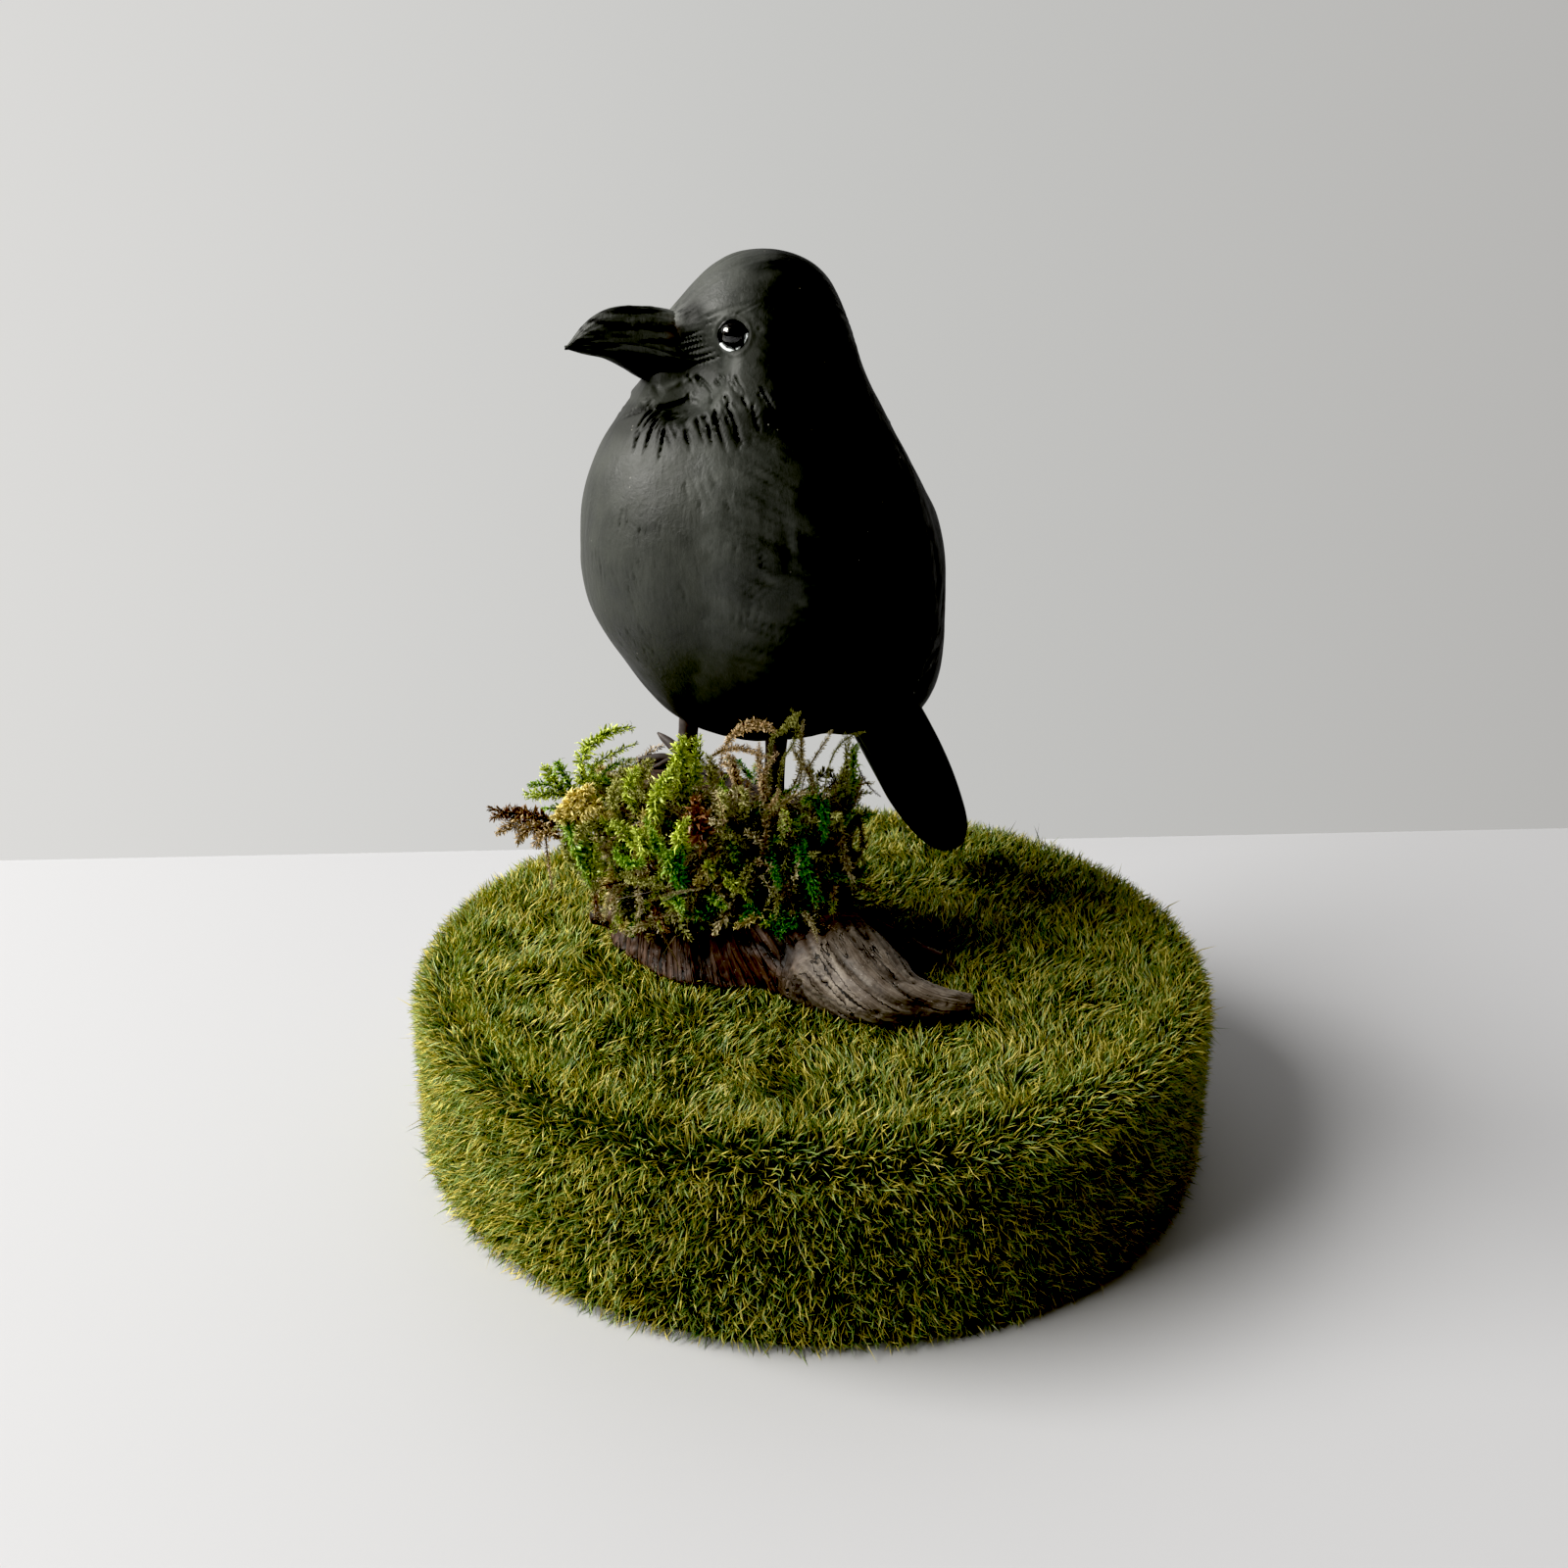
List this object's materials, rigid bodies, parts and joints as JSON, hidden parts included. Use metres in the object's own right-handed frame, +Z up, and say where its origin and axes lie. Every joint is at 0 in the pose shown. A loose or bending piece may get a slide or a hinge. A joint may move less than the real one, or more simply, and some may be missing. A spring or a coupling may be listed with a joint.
{
  "type": "clay crow figurine",
  "caption": "Black clay crow with glass eyes, standing on a moss-covered stump on a round drum of turf. A free-standing ornament.",
  "frame": {"origin": "centre of the drum's underside", "axes": "+Z up, -Y towards the side where the crow's left flank and its beak in profile show"},
  "size_m": [0.1048, 0.1048, 0.1108],
  "materials": {
    "turf": "short nylon grass fibres, matt, yellow-green over dark green",
    "bark_clay": "hand-carved brown clay, matt, dry-brushed grey on the root",
    "moss": "preserved moss shoots, green to straw and brown",
    "black_clay": "burnished black clay with knife strokes, soft sheen",
    "leg_clay": "grey-brown clay, matt",
    "eye_glass": "polished dark glass bead"
  },
  "bodies": {
    "root": {"turf_base": "turf", "stump": "bark_clay", "moss": "moss", "crow": "black_clay", "leg_left": "leg_clay", "leg_right": "leg_clay", "eye_left": "eye_glass", "eye_right": "eye_glass"}
  },
  "joints": []
}
